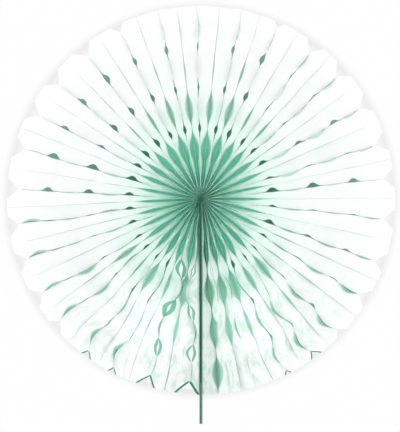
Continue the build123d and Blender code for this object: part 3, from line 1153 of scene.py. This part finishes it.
# Less lift near the rim lets the painted grey shadow and the cast shadow show.
lift_ring = (rim_radius - 17 * mm, rim_radius - 14 * mm)
inner_lift_ring, inner_lift = (rim_radius - 8 * mm, rim_radius), (0.85, 0.7)
outer_lift_ring, outer_lift = (rim_radius - 1 * mm, rim_radius + 8 * mm), (0.7, 0.985)
below_lift_ring, below_lift = (rim_radius - 4 * mm, rim_radius), (0.95, 0.0)
plain_by_hub, plain_by_rim = (0.15, 0.15, 0.15), (0.78, 0.78, 0.78)
plain_ring = (rim_radius - 70 * mm, rim_radius - 5 * mm)
glow_by_hub, glow_by_rim, hue_ring = (0.50, 0.88, 0.78), (1.0, 0.94, 0.96), (50 * mm, 100 * mm)
glow_ring, glow_levels = (55 * mm, 100 * mm), (1.3, 0.50)
hub_glow_ring, hub_glow_levels = (5 * mm, 22 * mm), (6.0, 0.0)
slack_sector, slack_ring, slack_levels = (0.65, 0.95), (80 * mm, 120 * mm), (0.0, 0.95)
last_ring, last_levels = (rim_radius - 70 * mm, rim_radius - 10 * mm), (1.0, 0.0)


def seen_coat(tree, away, downwards):
    """Paint that the camera sees, with painted shade behind the diamonds, painted light below the centre and
    a painted shadow at the rim, and how much of it is lifted to the white of the room.
    """
    # Painted green shade behind the diamonds.
    coat = mix_colours(tree, map_range(tree, away, *shade_green_ring), shade_green_by_hub, shade_green_by_rim)
    # Painted light in a sector below the centre.
    below = calculate(tree, "MULTIPLY", map_range(tree, downwards, *below_sector),
                      map_range(tree, away, *below_ring))
    coat = mix_colours(tree, below, coat, painted_light_below)
    # Painted grey shadow round the rim.
    coat = mix_colours(tree, map_range(tree, away, *shadow_ring), coat, rim_shadow)
    # Less lift near the rim lets the painted shadow show, rising to white beyond it.
    lift = calculate(tree, "MAXIMUM", map_range(tree, away, *inner_lift_ring, *inner_lift),
                     map_range(tree, away, *outer_lift_ring, *outer_lift))
    lift = calculate(tree, "MULTIPLY", lift, map_range(tree, away, *lift_ring))
    lift_below = map_range(tree, away, *below_lift_ring, *below_lift)
    return coat, calculate(tree, "MAXIMUM", lift, calculate(tree, "MULTIPLY", below, lift_below))


def unseen_glow(tree, away, downwards):
    """Colour and strength of the light that reaches the pleats from behind."""
    hue = mix_colours(tree, map_range(tree, away, *hue_ring), glow_by_hub, glow_by_rim)
    strength = calculate(tree, "MAXIMUM", map_range(tree, away, *glow_ring, *glow_levels),
                         map_range(tree, away, *hub_glow_ring, *hub_glow_levels))
    in_slack = calculate(tree, "MULTIPLY", map_range(tree, downwards, *slack_sector),
                         map_range(tree, away, *slack_ring, *slack_levels))
    strength = calculate(tree, "ADD", strength, in_slack)
    towards_rim = map_range(tree, away, *last_ring, *last_levels)
    return hue, calculate(tree, "MULTIPLY", strength, towards_rim)


print(f"glow {glow_levels[0]} near the centre and {glow_levels[1]} further out")

# %% [markdown]
# The camera's coat and the plain one share a diffuse shader, the glow is added, and the back of the
# wall is clear. The floor is a plain pale plane.

# %% Wall and floor
def make_wall():
    """One-sided wall in two coats, one for the camera and one for all other rays."""
    material, tree, surface, output = new_material("white wall")
    material.cycles.emission_sampling = "NONE"
    tree.nodes.remove(surface)
    away, downwards = place_on_wall(tree)
    seen = seen_rays(tree)
    coat, lift = seen_coat(tree, away, downwards)
    plain = mix_colours(tree, map_range(tree, away, *plain_ring), plain_by_hub, plain_by_rim)
    paint = tree.nodes.new("ShaderNodeBsdfDiffuse")
    tree.links.new(mix_colours(tree, seen, plain, coat), paint.inputs["Color"])
    white = tree.nodes.new("ShaderNodeEmission")
    lifted = add_shaders(tree, "ShaderNodeMixShader", paint.outputs["BSDF"], white.outputs["Emission"],
                         calculate(tree, "MULTIPLY", seen, lift))
    glow = tree.nodes.new("ShaderNodeEmission")
    hue, strength = unseen_glow(tree, away, downwards)
    tree.links.new(hue, glow.inputs["Color"])
    unseen = calculate(tree, "SUBTRACT", 1.0, seen)
    tree.links.new(calculate(tree, "MULTIPLY", unseen, strength), glow.inputs["Strength"])
    front = add_shaders(tree, "ShaderNodeAddShader", lifted, glow.outputs["Emission"])
    shape = tree.nodes.new("ShaderNodeNewGeometry")
    clear = tree.nodes.new("ShaderNodeBsdfTransparent")
    sided = add_shaders(tree, "ShaderNodeMixShader", front, clear.outputs["BSDF"],
                        shape.outputs["Backfacing"])
    tree.links.new(sided, output.inputs["Surface"])
    return material


wall_y = tissue_high[1] + 4 * mm
floor_z = -0.12
wall_half, wall_top, floor_half = 1.6, 1.8, 1.6
plane("wall", [(-wall_half, wall_y, floor_z), (wall_half, wall_y, floor_z),
               (wall_half, wall_y, wall_top), (-wall_half, wall_y, wall_top)], make_wall())
plane("floor", [(-floor_half, -floor_half, floor_z), (floor_half, -floor_half, floor_z),
                (floor_half, floor_half, floor_z), (-floor_half, floor_half, floor_z)],
      make_plain_finish("pale floor", (0.80, 0.80, 0.79), (0.86, 0.86, 0.85), 3, 0.9))
print(f"wall {wall_y / mm:.0f} mm behind the middle of the fan")

# %% [markdown]
# ## Light
#
# Two soft boxes stand left and right at the height of the fan. Each lights the fins on its own
# side, and together with the painted shade on the fins that draws the green lenses along the
# folds. A weak one stands behind, and its light comes through the one-sided wall and the tissue.
# The world fills the rest, a little less bright than the camera sees it.

# %% Lamps and world
side_power, back_power = 9.35, 2
side_place, box_front, back_place, back_height = 0.85, 1.25, 1.2, 0.5
side_size, back_size = (0.6, 0.8), (0.8, 0.8)
world_light = 0.72


def place_object(thing, place, aim):
    """Puts a lamp or the camera somewhere, looking at a point."""
    thing.location = place
    thing.rotation_euler = (Vector(aim) - Vector(place)).to_track_quat("-Z", "Y").to_euler()


def soft_box(name, place, aim, size, power):
    lamp = bpy.data.lights.new(name, "AREA")
    lamp.shape = "RECTANGLE"
    lamp.size, lamp.size_y = size
    lamp.energy = power
    thing = bpy.data.objects.new(name, lamp)
    place_object(thing, place, aim)
    bpy.context.scene.collection.objects.link(thing)


centre = (0, 0, centre_z)
for name, side in (("left box", -1), ("right box", 1)):
    soft_box(name, (side * side_place, -box_front, centre_z), centre, side_size, side_power)
soft_box("back box", (0.0, back_place, centre_z + back_height), centre, back_size, back_power)

world = bpy.data.worlds.new("white room")
bpy.context.scene.world = world
world.use_nodes = True
sky = world.node_tree.nodes["Background"]
sky.inputs["Color"].default_value = (1, 1, 1, 1)
path = world.node_tree.nodes.new("ShaderNodeLightPath")
brightness = map_range(world.node_tree, path.outputs["Is Camera Ray"], 0.0, 1.0, world_light, 1.0)
world.node_tree.links.new(brightness, sky.inputs["Strength"])
print(f"side boxes {side_power} W, back box {back_power} W, world {world_light}")

# %% [markdown]
# ## Camera
#
# The camera looks straight at the fan through a long lens, so all the fins are seen edge on. The
# disc's centre and its radius in pixels of the photograph set where the camera stands and how long
# its lens is, so a larger disc would fill the picture in the same way.

# %% Camera
image_width, image_height = 400, 432
photo_centre_x, photo_centre_y, photo_rim = 201.0, 200.0, 194.0
metres_per_pixel = rim_radius / photo_rim
camera_distance, sensor_width = 3.0, 36
view_x = (image_width / 2 - photo_centre_x) * metres_per_pixel
view_z = centre_z - (image_height / 2 - photo_centre_y) * metres_per_pixel
lens = bpy.data.cameras.new("long lens")
lens.sensor_width = sensor_width
lens.lens = sensor_width * camera_distance / (image_height * metres_per_pixel)
camera = bpy.data.objects.new("camera", lens)
place_object(camera, (view_x, -camera_distance, view_z), (view_x, 0, view_z))
bpy.context.scene.collection.objects.link(camera)
bpy.context.scene.camera = camera
bpy.context.scene.view_settings.view_transform = "Standard"
print(f"lens {lens.lens:.0f} mm at {camera_distance} m")
